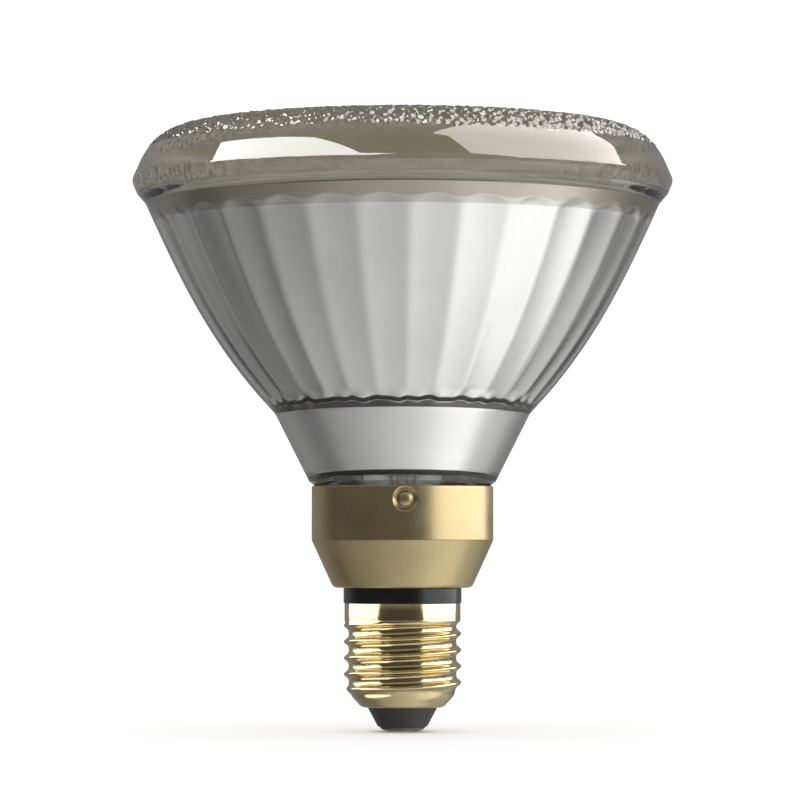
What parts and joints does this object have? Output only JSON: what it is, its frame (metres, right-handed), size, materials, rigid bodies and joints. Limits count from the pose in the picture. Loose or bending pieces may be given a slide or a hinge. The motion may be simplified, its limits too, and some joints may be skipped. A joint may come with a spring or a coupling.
{
  "type": "infrared heat lamp",
  "caption": "Infrared heat lamp: a fluted mirrored glass reflector with a domed stippled lens, on a crimped brass skirt and screw cap.",
  "frame": {"origin": "lowest point of the solder on the centre contact, on the lamp's axis", "axes": "+Z along the lamp's axis from cap to lens; the front crimp faces -Y"},
  "size_m": [0.121, 0.121, 0.1373],
  "materials": {
    "tinted_glass": "clear glass with a faint smoky olive tint, stippled face",
    "mirrored_glass": "clear pressed glass, mirrored inside",
    "clear_glass": "clear glass",
    "satin_brass": "satin",
    "polished_brass": "polished",
    "black_insulator": "gloss",
    "brown_insulator": "satin",
    "solder": "satin",
    "plated_steel": "satin",
    "tungsten": "satin"
  },
  "bodies": {
    "root": {"reflector": "mirrored_glass", "lens": "tinted_glass", "cap_skirt": "satin_brass", "insulating_ring": "black_insulator", "screw_shell": "polished_brass", "contact_insulator": "brown_insulator", "centre_contact": "polished_brass", "contact_solder": "solder", "shell_solder": "solder", "ferrule_left": "plated_steel", "ferrule_right": "plated_steel", "lead_post_left": "plated_steel", "lead_post_right": "plated_steel", "filament": "tungsten", "support_bead": "clear_glass", "hook_left": "tungsten", "hook_middle": "tungsten", "hook_right": "tungsten", "exhaust_tube": "clear_glass", "contact_wire": "plated_steel", "shell_wire": "plated_steel", "fuse": "clear_glass"}
  },
  "joints": []
}
